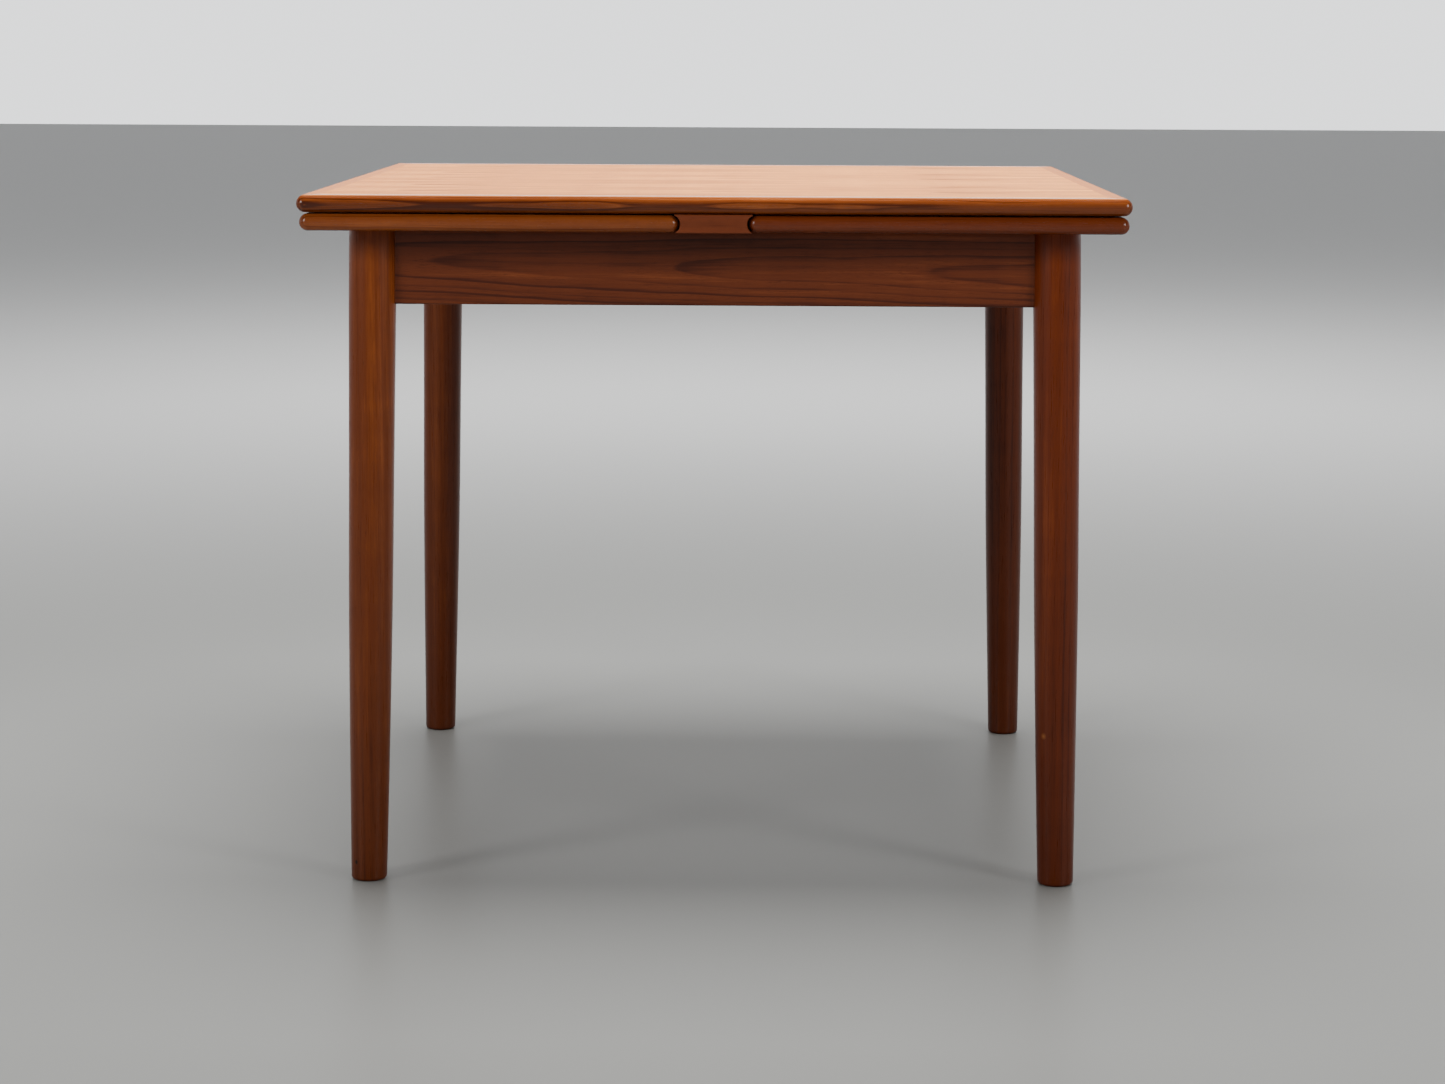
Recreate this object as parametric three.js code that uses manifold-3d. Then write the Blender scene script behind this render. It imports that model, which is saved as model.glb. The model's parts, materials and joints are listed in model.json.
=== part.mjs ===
// Square draw-leaf dining table in oiled teak, with its leaves pushed in.
// Millimetres, +Z up, origin on the floor under the middle of the table.
// +X points to the right leaf, -Y to the front. Both leaves draw out along X on tapered runners;
// the loose main top lies over them on two guide pegs, and a fixed centre board parts them.
import * as THREE from 'three';
import { mergeVertices } from 'three/addons/utils/BufferGeometryUtils.js';
import Module from 'manifold-3d';

const wasm = await Module();
wasm.setup();

// ---------- driving dimensions ----------

const TABLE_WIDTH = 860;
const TABLE_DEPTH = 860;
const TABLE_HEIGHT = 736;
const GLUE_GAP = 0.3;

const TOP_THICKNESS = 18;
const TOP_TO_LEAF_GAP = 1.2;
const LIPPING_WIDTH = 22;
const MITRE_SETBACK = 0.2;
const CORNER_RUN = 10;
const CORNER_STEPS = 5;

const LEAF_THICKNESS = 18;
const LEAF_INSET = 2.5;
const LEAF_INNER_X = 36;
const LEAF_TO_APRON_GAP = 0.5;
const NOSE_GAP_OPEN = 0.8;
const COVE_CLEARANCE = 1.5;

const LEG_CENTRE = 359.4;
const LEG_SPLAY = 0.014;
const LEG_PROFILE = [[19.1, 0], [21.5, 150], [23.4, 300], [24.1, 450], [25, 615]];
const LEG_TOP_RADIUS = 25;
const FOOT_ROUNDING = 4;

const APRON_THICKNESS = 20;
const APRON_FACE_SETBACK = 18;
const APRON_BOTTOM_Z = 619;
const TENON_THICKNESS = 10;
const TENON_SHOULDER = 10;
const TENON_FROM_LEG_CENTRE = 10;

const KEEPER_HALF_WIDTH = 90;
const KEEPER_THICKNESS = 12;

const RUNNER_WIDTH = 24;
const RUNNER_END_DEPTH = 20;
const RUNNER_NOSE_LENGTH = 18;
const RUNNER_TAIL_X = -343;
const RUNNER_Y = { right: 230, left: 198 };
const RUNNER_SCREW_X = [130, 320];
const NOTCH_CLEARANCE = 1;

const DOWEL_RADIUS = 5;
const DOWEL_FROM_TAIL = 10;
const DOWEL_PROUD = 16;

const STOP_BLOCK_GAP = 1.5;
const TAIL_REST_HEIGHT = 28;

const PEG_RADIUS = 6;
const PEG_Y = 300;
const PEG_IN_TOP = 10;

const SCREW_HEAD_RADIUS = 4;
const SCREW_SHANK_RADIUS = 1.9;
const RUNNER_SCREW_GRIP = 14;
const RUNNER_SCREW_LENGTH = 25;
const BOARD_SCREW_LENGTH = 50;
const KEEPER_SCREW_LENGTH = 25;
const KEEPER_SCREW_Y = 120;

const CORNER_BLOCK_Z = 635;
const CORNER_BLOCK_HEIGHT = 40;

// ---------- derived heights and places ----------

const TOP_BOTTOM_Z = TABLE_HEIGHT - TOP_THICKNESS;
const LEAF_TOP_Z = TOP_BOTTOM_Z - TOP_TO_LEAF_GAP;
const LEAF_BOTTOM_Z = LEAF_TOP_Z - LEAF_THICKNESS;
const APRON_TOP_Z = LEAF_BOTTOM_Z - LEAF_TO_APRON_GAP;
const APRON_OUTER = LEG_CENTRE + LEG_TOP_RADIUS - APRON_FACE_SETBACK;
const APRON_MIDDLE = APRON_OUTER - APRON_THICKNESS / 2;
const APRON_INNER = APRON_OUTER - APRON_THICKNESS;
const LEAF_OUTER_X = TABLE_WIDTH / 2 - LEAF_INSET;
const LEAF_END_Y = TABLE_DEPTH / 2 - LEAF_INSET;
const KEEPER_BOTTOM_Z = APRON_TOP_Z - KEEPER_THICKNESS;

// A fully drawn leaf is level with the top: it has climbed by the top and its gap on the way out.
const DRAW_REACH = TABLE_WIDTH / 2 + NOSE_GAP_OPEN - LEAF_INNER_X;
const DRAW_RISE = TOP_THICKNESS + TOP_TO_LEAF_GAP;
const DRAW_LENGTH = Math.hypot(DRAW_REACH, DRAW_RISE);
const RUNNER_SLOPE = DRAW_RISE / DRAW_REACH;
const DOWEL_X = RUNNER_TAIL_X + DOWEL_FROM_TAIL;

const runnerLowerZ = (x) => LEAF_BOTTOM_Z - RUNNER_END_DEPTH - (APRON_MIDDLE - x) * RUNNER_SLOPE;
const runnerTailUpperZ = (x) => KEEPER_BOTTOM_Z - 0.8 - (KEEPER_HALF_WIDTH - x) * RUNNER_SLOPE;

const NOTCH_BOTTOM_Z = runnerLowerZ(APRON_INNER - DRAW_LENGTH) - NOTCH_CLEARANCE;
const DOWEL_Z = (runnerLowerZ(DOWEL_X) + runnerTailUpperZ(DOWEL_X)) / 2;

// ---------- materials ----------

const finish = (color, roughness, metalness = 0) =>
  new THREE.MeshStandardMaterial({ color, roughness, metalness });

const TEAK_VENEER = finish(0xb0764a, 0.4);
const TEAK_LIPPING = finish(0x8f5227, 0.4);
const TEAK_LEAF = finish(0x8a4f28, 0.42);
const TEAK_LEAF_LIPPING = finish(0x7c4321, 0.42);
const TEAK_CENTRE = finish(0x73391f, 0.45);
const TEAK_APRON = finish(0x5f2f18, 0.45);
const TEAK_LEG = finish(0x6b3518, 0.42);
const BEECH = finish(0xc79f6f, 0.6);
const STEEL = finish(0x9c9a94, 0.35, 1);

// ---------- solids ----------

const table = new THREE.Group();

/** Turns a closed three.js geometry into a solid that can be cut and joined. */
function solidOf(geometry) {
  const bare = geometry.clone();
  bare.deleteAttribute('normal');
  bare.deleteAttribute('uv');
  const merged = mergeVertices(bare, 1e-4);
  return new wasm.Manifold(new wasm.Mesh({
    numProp: 3,
    vertProperties: new Float32Array(merged.attributes.position.array),
    triVerts: new Uint32Array(merged.index.array),
  }));
}

/** Turns a solid back into geometry. */
function geometryOf(solid) {
  const mesh = solid.getMesh();
  const geometry = new THREE.BufferGeometry();
  geometry.setAttribute('position', new THREE.BufferAttribute(mesh.vertProperties, 3));
  geometry.setIndex(new THREE.BufferAttribute(mesh.triVerts, 1));
  geometry.computeVertexNormals();
  return geometry;
}

function addPiece(name, shape, material) {
  const geometry = shape.isBufferGeometry ? shape : geometryOf(shape);
  const mesh = new THREE.Mesh(geometry, material.clone());
  mesh.name = name;
  table.add(mesh);
}

/** A box between two corners, each [x, y, z]. */
function boxSolid(low, high) {
  const size = high.map((value, i) => value - low[i]);
  const centre = high.map((value, i) => (value + low[i]) / 2);
  return solidOf(new THREE.BoxGeometry(...size).translate(...centre));
}

/** A solid turned about an upright axis at (x, y), from [radius, z] points that start and end on it. */
function turnedSolid(points, segments, x, y) {
  const outline = points.map(([radius, z]) => new THREE.Vector2(radius, z));
  return solidOf(new THREE.LatheGeometry(outline, segments).rotateX(Math.PI / 2).translate(x, y, 0));
}

const uprightCylinder = (radius, low, high, x, y, segments = 24) =>
  turnedSolid([[0, low], [radius, low], [radius, high], [0, high]], segments, x, y);

/** A round bar along Y. */
const crossBar = (radius, x, z, lowY, highY) =>
  solidOf(new THREE.CylinderGeometry(radius, radius, highY - lowY, 24).translate(x, (lowY + highY) / 2, z));

/** An outline in the XZ plane, extruded along Y between two values. */
function slabAlongY(shape, lowY, highY) {
  const settings = { depth: highY - lowY, bevelEnabled: false, curveSegments: 10 };
  return solidOf(new THREE.ExtrudeGeometry(shape, settings).rotateX(Math.PI / 2).translate(0, highY, 0));
}

const shapeFrom = (points) => new THREE.Shape(points.map(([x, y]) => new THREE.Vector2(x, y)));

// ---------- edged boards: a veneered panel inside four mitred, half-round lippings ----------

/**
 * Where a line of a lipping runs at a step between 0 and CORNER_STEPS: [along the edge, further in].
 * Lines nearer the nose than the rounding bend round the corner; all end on the mitre.
 */
function lippingRun(step, inward, rounding, alongHalf) {
  const end = alongHalf - MITRE_SETBACK;
  const start = end - LIPPING_WIDTH - CORNER_RUN;
  const bent = Math.max(step - 1, 0) / (CORNER_STEPS - 1);
  if (inward >= rounding) {
    const share = step === 0 ? 0 : 0.8 + 0.2 * bent;
    return [start + (end - inward - start) * share, 0];
  }
  if (step === 0) return [start, 0];
  const bend = rounding - inward;
  const turn = (bent * Math.PI) / 4;
  return [end - rounding + bend * Math.sin(turn), bend * (1 - Math.cos(turn))];
}

/**
 * One lipping. In its outline u runs outwards, square to the edge, and the outer side is a half circle.
 * Its ends are mitred, and the board's corners are rounded in plan by the radius of the nose.
 */
function lippingSolid(outward, outwardHalf, alongHalf, centre, bottom, thickness) {
  const radius = thickness / 2;
  const outline = new THREE.Shape();
  outline.moveTo(outwardHalf - LIPPING_WIDTH, 0);
  outline.lineTo(outwardHalf - radius, 0);
  outline.absarc(outwardHalf - radius, radius, radius, -Math.PI / 2, Math.PI / 2, false);
  outline.lineTo(outwardHalf - LIPPING_WIDTH, thickness);
  outline.closePath();
  const rings = 2 * CORNER_STEPS + 1;
  const settings = { depth: rings, steps: rings, bevelEnabled: false, curveSegments: 10 };
  const geometry = new THREE.ExtrudeGeometry(outline, settings).translate(0, 0, -rings / 2);
  const along = [outward[1], -outward[0]];
  const position = geometry.attributes.position;
  for (let i = 0; i < position.count; i += 1) {
    const u = position.getX(i);
    const ring = position.getZ(i);
    const step = Math.round(Math.abs(ring) - 0.5);
    const [run, more] = lippingRun(step, outwardHalf - u, radius, alongHalf);
    const out = u - more;
    const reach = Math.sign(ring) * run;
    const x = centre[0] + outward[0] * out + along[0] * reach;
    const y = centre[1] + outward[1] * out + along[1] * reach;
    position.setXYZ(i, x, y, bottom + position.getY(i));
  }
  return solidOf(geometry);
}

/** A panel and its lippings between two plan corners. Cutters leave holes in the panel. */
function addEdgedBoard(name, low, high, bottom, thickness, veneer, lipping, cutters = []) {
  const centre = [(low[0] + high[0]) / 2, (low[1] + high[1]) / 2];
  const half = [(high[0] - low[0]) / 2, (high[1] - low[1]) / 2];
  const inset = LIPPING_WIDTH + GLUE_GAP;
  let panel = boxSolid(
    [low[0] + inset, low[1] + inset, bottom],
    [high[0] - inset, high[1] - inset, bottom + thickness],
  );
  for (const cutter of cutters) panel = panel.subtract(cutter);
  addPiece(`${name}_panel`, panel, veneer);
  const sides = { right: [1, 0], left: [-1, 0], back: [0, 1], front: [0, -1] };
  for (const [side, outward] of Object.entries(sides)) {
    const across = outward[0] === 0 ? 1 : 0;
    const edge = lippingSolid(outward, half[across], half[1 - across], centre, bottom, thickness);
    addPiece(`${name}_lipping_${side}`, edge, lipping);
  }
}

// ---------- fasteners ----------

/** A countersunk wood screw's outline, head end at 0 and point at its length, grown by a clearance. */
function screwOutline(length, clearance) {
  const head = SCREW_HEAD_RADIUS + clearance;
  const shank = SCREW_SHANK_RADIUS + clearance;
  return [
    [0, -clearance],
    [head, -clearance],
    [head, 0.6],
    [shank, 0.6 + head - shank],
    [shank, length - 5],
    [0, length + clearance],
  ];
}

/** A screw on an upright axis, with its head at headZ and its point up (1) or down (-1). */
function screwSolid(x, y, headZ, direction, length, clearance = 0) {
  const points = screwOutline(length, clearance).map(([radius, z]) => [radius, headZ + direction * z]);
  if (direction < 0) points.reverse();
  return turnedSolid(points, 10, x, y);
}

// ---------- main top, guide pegs ----------

const SIDES = { left: -1, right: 1 };
const ENDS = { front: -1, back: 1 };

const pegHoles = Object.values(ENDS).map((end) =>
  uprightCylinder(PEG_RADIUS + 0.6, KEEPER_BOTTOM_Z - 5, LEAF_TOP_Z + 5, 0, end * PEG_Y));

function addMainTop() {
  const socketEnds = [TOP_BOTTOM_Z - 5, TOP_BOTTOM_Z + PEG_IN_TOP + GLUE_GAP];
  const sockets = Object.values(ENDS).map((end) =>
    uprightCylinder(PEG_RADIUS + GLUE_GAP, ...socketEnds, 0, end * PEG_Y));
  const half = [TABLE_WIDTH / 2, TABLE_DEPTH / 2];
  const low = half.map((value) => -value);
  addEdgedBoard('top', low, half, TOP_BOTTOM_Z, TOP_THICKNESS, TEAK_VENEER, TEAK_LIPPING, sockets);
  const tip = KEEPER_BOTTOM_Z - 6;
  const peg = [
    [0, tip],
    [PEG_RADIUS - 2.5, tip],
    [PEG_RADIUS, tip + 4],
    [PEG_RADIUS, TOP_BOTTOM_Z + PEG_IN_TOP],
    [0, TOP_BOTTOM_Z + PEG_IN_TOP],
  ];
  for (const [place, end] of Object.entries(ENDS)) {
    addPiece(`guide_peg_${place}`, turnedSolid(peg, 24, 0, end * PEG_Y), BEECH);
  }
}

// ---------- leaves and their runners ----------

/** The right leaf's runner, drawn in the XZ plane; side turns it into the left leaf's. */
function runnerShape(side) {
  const noseX = APRON_OUTER + 0.8;
  const noseBottom = NOTCH_BOTTOM_Z + 0.5;
  const upper = LEAF_BOTTOM_Z - GLUE_GAP;
  const stepX = KEEPER_HALF_WIDTH + 2;
  const points = [
    [RUNNER_TAIL_X, runnerLowerZ(RUNNER_TAIL_X)],
    [noseX, runnerLowerZ(noseX)],
    [noseX, noseBottom],
    [noseX + RUNNER_NOSE_LENGTH, noseBottom],
    [noseX + RUNNER_NOSE_LENGTH, upper],
    [stepX, upper],
    [stepX, runnerTailUpperZ(stepX)],
    [RUNNER_TAIL_X, runnerTailUpperZ(RUNNER_TAIL_X)],
  ];
  return shapeFrom(points.map(([x, z]) => [side * x, z]));
}

function addLeaf(name) {
  const side = SIDES[name];
  const headZ = LEAF_BOTTOM_Z - RUNNER_SCREW_GRIP;
  const screwPlaces = Object.entries(ENDS).flatMap(([place, end]) =>
    RUNNER_SCREW_X.map((x, i) => ({ label: `${place}_${i + 1}`, x: side * x, y: end * RUNNER_Y[name] })));
  const screwHoles = screwPlaces.map(({ x, y }) => screwSolid(x, y, headZ, 1, RUNNER_SCREW_LENGTH, GLUE_GAP));
  const innerX = side * LEAF_INNER_X;
  const outerX = side * LEAF_OUTER_X;
  addEdgedBoard(
    `${name}_leaf`,
    [Math.min(innerX, outerX), -LEAF_END_Y],
    [Math.max(innerX, outerX), LEAF_END_Y],
    LEAF_BOTTOM_Z,
    LEAF_THICKNESS,
    TEAK_LEAF,
    TEAK_LEAF_LIPPING,
    screwHoles,
  );
  for (const [place, end] of Object.entries(ENDS)) {
    const y = end * RUNNER_Y[name];
    let runner = slabAlongY(runnerShape(side), y - RUNNER_WIDTH / 2, y + RUNNER_WIDTH / 2);
    const dowelEnds = [y - RUNNER_WIDTH, y + RUNNER_WIDTH];
    runner = runner.subtract(crossBar(DOWEL_RADIUS + GLUE_GAP, side * DOWEL_X, DOWEL_Z, ...dowelEnds));
    for (const x of RUNNER_SCREW_X) {
      const counterbore = uprightCylinder(SCREW_HEAD_RADIUS + 1, NOTCH_BOTTOM_Z - 30, headZ, side * x, y, 16);
      runner = runner.subtract(counterbore);
    }
    for (const hole of screwHoles) runner = runner.subtract(hole);
    addPiece(`${name}_runner_${place}`, runner, BEECH);
  }
  for (const { label, x, y } of screwPlaces) {
    addPiece(`${name}_runner_screw_${label}`, screwSolid(x, y, headZ, 1, RUNNER_SCREW_LENGTH), STEEL);
  }
}

/**
 * Stops of one leaf: a round dowel through each runner's tail, the half-round rest that it lies in
 * when the leaf is in, and the block under the keeper that it meets when the leaf is out.
 * The right leaf's dowels stand out towards the ends of the table, the left leaf's towards its middle.
 */
function addStops(name) {
  const side = SIDES[name];
  const proud = side * (RUNNER_WIDTH / 2);
  for (const [place, end] of Object.entries(ENDS)) {
    const near = end * (RUNNER_Y[name] - proud);
    const face = end * (RUNNER_Y[name] + proud);
    const tip = face + end * side * DOWEL_PROUD;
    const bar = [Math.min(near, tip), Math.max(near, tip)];
    addPiece(`${name}_stop_dowel_${place}`, crossBar(DOWEL_RADIUS, side * DOWEL_X, DOWEL_Z, ...bar), BEECH);

    const blockStart = face + end * side * STOP_BLOCK_GAP;
    const block = [Math.min(blockStart, tip), Math.max(blockStart, tip)];
    const restX = [-APRON_INNER + 1, DOWEL_X].map((x) => side * x).sort((a, b) => a - b);
    const rest = boxSolid(
      [restX[0], block[0], DOWEL_Z - TAIL_REST_HEIGHT / 2],
      [restX[1], block[1], DOWEL_Z + TAIL_REST_HEIGHT / 2],
    );
    const recess = crossBar(DOWEL_RADIUS + 0.6, side * DOWEL_X, DOWEL_Z, block[0] - 1, block[1] + 1);
    addPiece(`${name}_tail_rest_${place}`, rest.subtract(recess), BEECH);

    const stopFace = DOWEL_X + DRAW_LENGTH + DOWEL_RADIUS + 0.6;
    const stopX = [stopFace, KEEPER_HALF_WIDTH - 2].map((x) => side * x).sort((a, b) => a - b);
    const stop = boxSolid(
      [stopX[0], block[0], DOWEL_Z - DOWEL_RADIUS - 3],
      [stopX[1], block[1], KEEPER_BOTTOM_Z - GLUE_GAP],
    );
    addPiece(`${name}_draw_stop_${place}`, stop, BEECH);
  }
}

// ---------- fixed middle: centre board and the keeper rail under it ----------

function addMiddle() {
  const boardBottom = APRON_TOP_Z + GLUE_GAP;
  const boardTop = TOP_BOTTOM_Z - GLUE_GAP;
  const noseX = LEAF_INNER_X + LEAF_THICKNESS / 2;
  const noseZ = LEAF_BOTTOM_Z + LEAF_THICKNESS / 2;
  let board = boxSolid([-noseX, -LEAF_END_Y, boardBottom], [noseX, LEAF_END_Y, boardTop]);
  for (const side of Object.values(SIDES)) {
    const cove = new THREE.CylinderGeometry(1, 1, TABLE_DEPTH, 48).scale(
      LEAF_THICKNESS / 2 + COVE_CLEARANCE,
      1,
      LEAF_THICKNESS / 2 + COVE_CLEARANCE,
    );
    board = board.subtract(solidOf(cove.translate(side * noseX, 0, noseZ)));
  }
  const keeperEnd = APRON_INNER - GLUE_GAP;
  let keeper = boxSolid(
    [-KEEPER_HALF_WIDTH, -keeperEnd, KEEPER_BOTTOM_Z],
    [KEEPER_HALF_WIDTH, keeperEnd, APRON_TOP_Z],
  );
  for (const hole of pegHoles) {
    board = board.subtract(hole);
    keeper = keeper.subtract(hole);
  }
  const boardScrewHoles = [];
  for (const [place, end] of Object.entries(ENDS)) {
    const fromAbove = [0, end * APRON_MIDDLE, boardTop - 0.4, -1, BOARD_SCREW_LENGTH];
    const fromBelow = [0, end * KEEPER_SCREW_Y, KEEPER_BOTTOM_Z + 0.4, 1, KEEPER_SCREW_LENGTH];
    boardScrewHoles.push(screwSolid(...fromAbove, GLUE_GAP));
    board = board.subtract(screwSolid(...fromAbove, GLUE_GAP)).subtract(screwSolid(...fromBelow, GLUE_GAP));
    keeper = keeper.subtract(screwSolid(...fromBelow, GLUE_GAP));
    addPiece(`centre_board_screw_${place}`, screwSolid(...fromAbove), STEEL);
    addPiece(`keeper_screw_${place}`, screwSolid(...fromBelow), STEEL);
  }
  addPiece('centre_board', board, TEAK_CENTRE);
  addPiece('keeper_rail', keeper, BEECH);
  return boardScrewHoles;
}

// ---------- legs, aprons, corner blocks ----------

/** A round tapered leg. Its axis leans outwards by the splay, and its foot and top stay level. */
function legSolid(sideX, sideY, grown = 0) {
  const taper = new THREE.SplineCurve(LEG_PROFILE.map(([radius, z]) => new THREE.Vector2(radius, z)));
  const points = [[0, -grown]];
  const footRadius = LEG_PROFILE[0][0] + grown;
  for (let step = 0; step < 3; step += 1) {
    const turn = (step / 3) * (Math.PI / 2);
    const inFromFoot = FOOT_ROUNDING * (1 - Math.sin(turn));
    points.push([footRadius - inFromFoot, FOOT_ROUNDING * (1 - Math.cos(turn)) - grown]);
  }
  for (const point of taper.getPoints(9)) {
    if (point.y > FOOT_ROUNDING) points.push([point.x + grown, point.y]);
  }
  const legTop = APRON_TOP_Z - GLUE_GAP + grown;
  points.push([LEG_TOP_RADIUS + grown, legTop - 1.5]);
  points.push([LEG_TOP_RADIUS + grown - 1.5, legTop]);
  points.push([0, legTop]);
  const outline = points.map(([radius, z]) => new THREE.Vector2(radius, z));
  const geometry = new THREE.LatheGeometry(outline, 32).rotateX(Math.PI / 2);
  const apronMiddleZ = (APRON_TOP_Z + APRON_BOTTOM_Z) / 2;
  const position = geometry.attributes.position;
  for (let i = 0; i < position.count; i += 1) {
    const z = position.getZ(i);
    const centre = LEG_CENTRE + (apronMiddleZ - z) * LEG_SPLAY;
    position.setXY(i, position.getX(i) + sideX * centre, position.getY(i) + sideY * centre);
  }
  return solidOf(geometry);
}

/** A tenon, or with clearance its mortise, at one end of the apron that runs along X or Y. */
function tenonSolid(runsAlong, apronSide, end, clearance) {
  const tenonEnd = LEG_CENTRE - TENON_FROM_LEG_CENTRE + clearance;
  const alongRange = [end * (LEG_CENTRE - LEG_TOP_RADIUS - 10), end * tenonEnd].sort((a, b) => a - b);
  const halfThickness = TENON_THICKNESS / 2 + clearance;
  const middle = apronSide * APRON_MIDDLE;
  const acrossRange = [middle - halfThickness, middle + halfThickness];
  const low = [alongRange[0], acrossRange[0]];
  const high = [alongRange[1], acrossRange[1]];
  if (runsAlong === 'y') {
    low.reverse();
    high.reverse();
  }
  return boxSolid(
    [...low, APRON_BOTTOM_Z + TENON_SHOULDER - clearance],
    [...high, APRON_TOP_Z - TENON_SHOULDER + clearance],
  );
}

function addLegs() {
  for (const [sideName, sideX] of Object.entries(SIDES)) {
    for (const [endName, endY] of Object.entries(ENDS)) {
      const leg = legSolid(sideX, endY)
        .subtract(tenonSolid('x', endY, sideX, GLUE_GAP))
        .subtract(tenonSolid('y', sideX, endY, GLUE_GAP));
      addPiece(`leg_${endName}_${sideName}`, leg, TEAK_LEG);
    }
  }
}

/** An apron between two legs, scribed to their round faces and tenoned into them. */
function addApron(name, runsAlong, apronSide, cutters) {
  const outer = apronSide * APRON_OUTER;
  const inner = apronSide * APRON_INNER;
  const low = [-LEG_CENTRE, Math.min(outer, inner)];
  const high = [LEG_CENTRE, Math.max(outer, inner)];
  if (runsAlong === 'y') {
    low.reverse();
    high.reverse();
  }
  let apron = boxSolid([...low, APRON_BOTTOM_Z], [...high, APRON_TOP_Z]);
  for (const end of [-1, 1]) {
    const [sideX, sideY] = runsAlong === 'x' ? [end, apronSide] : [apronSide, end];
    apron = apron.subtract(legSolid(sideX, sideY, GLUE_GAP)).add(tenonSolid(runsAlong, apronSide, end, 0));
  }
  for (const cutter of cutters) apron = apron.subtract(cutter);
  addPiece(name, apron, TEAK_APRON);
}

/** The notches in an end apron that one leaf's runners slide and climb through. */
function notchSolids(name) {
  const side = SIDES[name];
  const across = [APRON_INNER - 5, APRON_OUTER + 5].map((x) => side * x).sort((a, b) => a - b);
  const half = RUNNER_WIDTH / 2 + NOTCH_CLEARANCE;
  return Object.values(ENDS).map((end) => {
    const y = end * RUNNER_Y[name];
    return boxSolid([across[0], y - half, NOTCH_BOTTOM_Z], [across[1], y + half, APRON_TOP_Z + 5]);
  });
}

function addCornerBlocks() {
  const wall = APRON_INNER - GLUE_GAP;
  const outline = [[wall, wall - 80], [wall, wall - 32], [wall - 32, wall], [wall - 80, wall]];
  for (const [sideName, sideX] of Object.entries(SIDES)) {
    for (const [endName, endY] of Object.entries(ENDS)) {
      const points = outline.map(([x, y]) => [sideX * x, endY * y]);
      const settings = { depth: CORNER_BLOCK_HEIGHT, bevelEnabled: false };
      const block = new THREE.ExtrudeGeometry(shapeFrom(points), settings);
      addPiece(`corner_block_${endName}_${sideName}`, solidOf(block.translate(0, 0, CORNER_BLOCK_Z)), BEECH);
    }
  }
}

addMainTop();
addLeaf('left');
addLeaf('right');
addStops('left');
addStops('right');
const [frontScrewHole, backScrewHole] = addMiddle();
addLegs();
addApron('apron_front', 'x', ENDS.front, [frontScrewHole]);
addApron('apron_back', 'x', ENDS.back, [backScrewHole]);
addApron('apron_left', 'y', SIDES.left, notchSolids('left'));
addApron('apron_right', 'y', SIDES.right, notchSolids('right'));
addCornerBlocks();

export default table;
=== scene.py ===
"""A square draw-leaf table in oiled teak: the looks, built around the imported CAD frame.

Metres, +Z up, the CAD part's own frame. Sizes that the frame holds are read from it.
"""
import json
import math

import bmesh
import bpy
from mathutils import Matrix, Vector


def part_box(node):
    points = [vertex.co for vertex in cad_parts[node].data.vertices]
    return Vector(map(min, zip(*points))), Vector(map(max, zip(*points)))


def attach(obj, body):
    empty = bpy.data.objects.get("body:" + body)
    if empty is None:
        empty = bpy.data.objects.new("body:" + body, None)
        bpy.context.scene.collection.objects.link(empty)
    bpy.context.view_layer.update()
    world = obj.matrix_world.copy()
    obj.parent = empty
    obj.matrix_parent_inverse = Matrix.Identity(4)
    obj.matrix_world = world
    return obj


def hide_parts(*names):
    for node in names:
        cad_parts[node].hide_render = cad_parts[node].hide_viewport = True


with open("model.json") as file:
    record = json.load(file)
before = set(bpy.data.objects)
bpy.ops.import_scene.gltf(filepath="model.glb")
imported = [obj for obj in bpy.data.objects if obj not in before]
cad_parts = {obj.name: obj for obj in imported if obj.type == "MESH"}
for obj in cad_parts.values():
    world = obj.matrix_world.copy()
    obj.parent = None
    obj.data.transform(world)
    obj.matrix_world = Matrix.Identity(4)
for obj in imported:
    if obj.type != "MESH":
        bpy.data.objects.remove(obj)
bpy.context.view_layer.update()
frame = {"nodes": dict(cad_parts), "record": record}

MM = 0.001
SIDES = {"left": -1, "right": 1}
ENDS = {"front": -1, "back": 1}

# ---------------------------------------------------------------- sizes

TOP_LOW, TOP_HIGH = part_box("top_panel")
LEAF_LOW, LEAF_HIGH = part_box("right_leaf_panel")
APRON_LOW, APRON_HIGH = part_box("apron_front")
BOARD_LOW, BOARD_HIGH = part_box("centre_board")

LIPPING_WIDTH = 22 * MM
TIGHT_JOINT = 0.06 * MM
GLUE_GAP = 0.3 * MM
SCRIBE_GAP = 0.12 * MM
COVE_CLEARANCE = 1.5 * MM
NOTCH_ROOM = 1 * MM
PEG_HOLE_RADIUS = 6.6 * MM
SCREW_SHANK_RADIUS = 1.9 * MM

LEG_PROFILE = [(19.1, 0), (21.5, 150), (23.4, 300), (24.1, 450), (25, 615)]
LEG_CENTRE = 359.4 * MM
LEG_TOP_RADIUS = LEG_PROFILE[-1][0] * MM
LEG_SPLAY = 0.014
FOOT_ROUNDING = 4 * MM
APRON_MIDDLE_Z = (APRON_LOW.z + APRON_HIGH.z) / 2

CUTTER_REACH = 20 * MM
LEG_SEGMENTS = 72
PEG_SEGMENTS = 48
SCREW_SEGMENTS = 40

# ---------------------------------------------------------------- mesh helpers


def new_object(name, mesh):
    piece = bpy.data.objects.new(name, mesh)
    bpy.context.scene.collection.objects.link(piece)
    return piece


def finish_piece(piece, node, body, material, smooth_angle=35):
    """Gives a detailed piece its material and body, and hides the CAD node that it stands for."""
    mesh = piece.data
    mesh.materials.clear()
    mesh.materials.append(material)
    for polygon in mesh.polygons:
        polygon.use_smooth = True
    mesh.set_sharp_from_angle(angle=math.radians(smooth_angle))
    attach(piece, body)
    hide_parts(node)


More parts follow.
